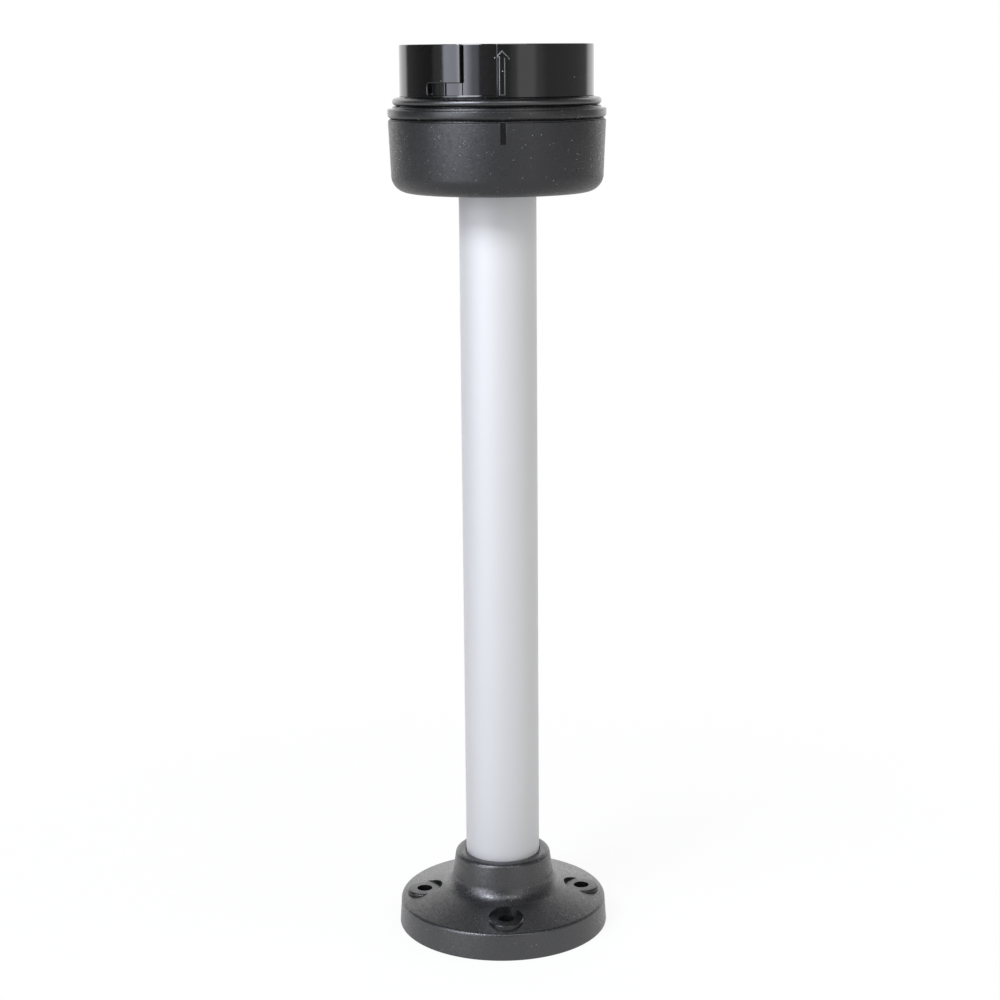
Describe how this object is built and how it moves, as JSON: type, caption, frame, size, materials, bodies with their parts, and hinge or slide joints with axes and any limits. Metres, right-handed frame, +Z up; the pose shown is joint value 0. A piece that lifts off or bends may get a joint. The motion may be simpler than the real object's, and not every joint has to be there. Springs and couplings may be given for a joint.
{
  "type": "signal tower pole base",
  "caption": "Signal tower base: round bolt-down foot, aluminium pole and a cup head with an O-ring sealed bayonet neck that takes light modules and holds screw terminals.",
  "frame": {"origin": "centre of the foot's underside, on the surface it stands on", "axes": "+Z up the pole; the arrow, the alignment line and one bolt hole face -Y; +X to the right seen from the front"},
  "size_m": [0.0714, 0.0714, 0.2962],
  "materials": {
    "foot_plastic": "black glass-filled plastic with a spark-eroded texture",
    "tube_aluminium": "satin natural anodised",
    "dark_steel": "dark zinc-plated set screw",
    "cup_plastic": "black plastic with a fine matte grain",
    "rubber": "black nitrile rubber",
    "neck_plastic": "black plastic, polished neck and finely grained flange",
    "base_plastic": "light grey moulded terminal plastic",
    "cover_plastic": "black moulded plate",
    "contact_brass": "rolled brass strip",
    "plated_steel": "bright zinc-plated steel"
  },
  "bodies": {
    "stand": {"foot": "foot_plastic", "foot_set_screw": "dark_steel", "tube": "tube_aluminium"},
    "head": {"cup": "cup_plastic", "cup_clamp_screw": "dark_steel", "cup_seal": "rubber", "bayonet_neck": "neck_plastic", "neck_o_ring": "rubber", "cable_grommet": "rubber", "terminal_base": "base_plastic", "terminal_cover": "cover_plastic", "contact_1": "contact_brass", "contact_2": "contact_brass", "contact_3": "contact_brass", "contact_4": "contact_brass", "contact_5": "contact_brass", "contact_6": "contact_brass", "head_screw_1": "plated_steel", "head_screw_2": "plated_steel", "head_screw_3": "plated_steel"},
    "screw_1": {"terminal_screw_1": "plated_steel"},
    "cage_1": {"clamp_cage_1": "plated_steel"},
    "screw_2": {"terminal_screw_2": "plated_steel"},
    "cage_2": {"clamp_cage_2": "plated_steel"},
    "screw_3": {"terminal_screw_3": "plated_steel"},
    "cage_3": {"clamp_cage_3": "plated_steel"},
    "screw_4": {"terminal_screw_4": "plated_steel"},
    "cage_4": {"clamp_cage_4": "plated_steel"},
    "screw_5": {"terminal_screw_5": "plated_steel"},
    "cage_5": {"clamp_cage_5": "plated_steel"},
    "screw_6": {"terminal_screw_6": "plated_steel"},
    "cage_6": {"clamp_cage_6": "plated_steel"}
  },
  "joints": [
    {"name": "head_swivel", "type": "hinge", "parent": "stand", "child": "head", "pos_m": [0, 0, 0.25], "axis": [0, 0, 1], "range_deg": [-180, 180]},
    {"name": "screw_1_turn", "type": "hinge", "parent": "head", "child": "screw_1", "pos_m": [0.0183, 0, 0.287], "axis": [0, 0, -1], "range_deg": [0, 1657]},
    {"name": "cage_1_rise", "type": "slide", "parent": "head", "child": "cage_1", "axis": [0, 0, 1], "range_m": [0, 0.0023]},
    {"name": "screw_2_turn", "type": "hinge", "parent": "head", "child": "screw_2", "pos_m": [0.00915, 0.01585, 0.287], "axis": [0, 0, -1], "range_deg": [0, 1657]},
    {"name": "cage_2_rise", "type": "slide", "parent": "head", "child": "cage_2", "axis": [0, 0, 1], "range_m": [0, 0.0023]},
    {"name": "screw_3_turn", "type": "hinge", "parent": "head", "child": "screw_3", "pos_m": [-0.00915, 0.01585, 0.287], "axis": [0, 0, -1], "range_deg": [0, 1657]},
    {"name": "cage_3_rise", "type": "slide", "parent": "head", "child": "cage_3", "axis": [0, 0, 1], "range_m": [0, 0.0023]},
    {"name": "screw_4_turn", "type": "hinge", "parent": "head", "child": "screw_4", "pos_m": [-0.0183, 0, 0.287], "axis": [0, 0, -1], "range_deg": [0, 1657]},
    {"name": "cage_4_rise", "type": "slide", "parent": "head", "child": "cage_4", "axis": [0, 0, 1], "range_m": [0, 0.0023]},
    {"name": "screw_5_turn", "type": "hinge", "parent": "head", "child": "screw_5", "pos_m": [-0.00915, -0.01585, 0.287], "axis": [0, 0, -1], "range_deg": [0, 1657]},
    {"name": "cage_5_rise", "type": "slide", "parent": "head", "child": "cage_5", "axis": [0, 0, 1], "range_m": [0, 0.0023]},
    {"name": "screw_6_turn", "type": "hinge", "parent": "head", "child": "screw_6", "pos_m": [0.00915, -0.01585, 0.287], "axis": [0, 0, -1], "range_deg": [0, 1657]},
    {"name": "cage_6_rise", "type": "slide", "parent": "head", "child": "cage_6", "axis": [0, 0, 1], "range_m": [0, 0.0023]}
  ],
  "couplings": [
    {"joint": "screw_1_turn", "follows": "cage_1_rise", "rad_per_m": 12566},
    {"joint": "screw_2_turn", "follows": "cage_2_rise", "rad_per_m": 12566},
    {"joint": "screw_3_turn", "follows": "cage_3_rise", "rad_per_m": 12566},
    {"joint": "screw_4_turn", "follows": "cage_4_rise", "rad_per_m": 12566},
    {"joint": "screw_5_turn", "follows": "cage_5_rise", "rad_per_m": 12566},
    {"joint": "screw_6_turn", "follows": "cage_6_rise", "rad_per_m": 12566}
  ]
}
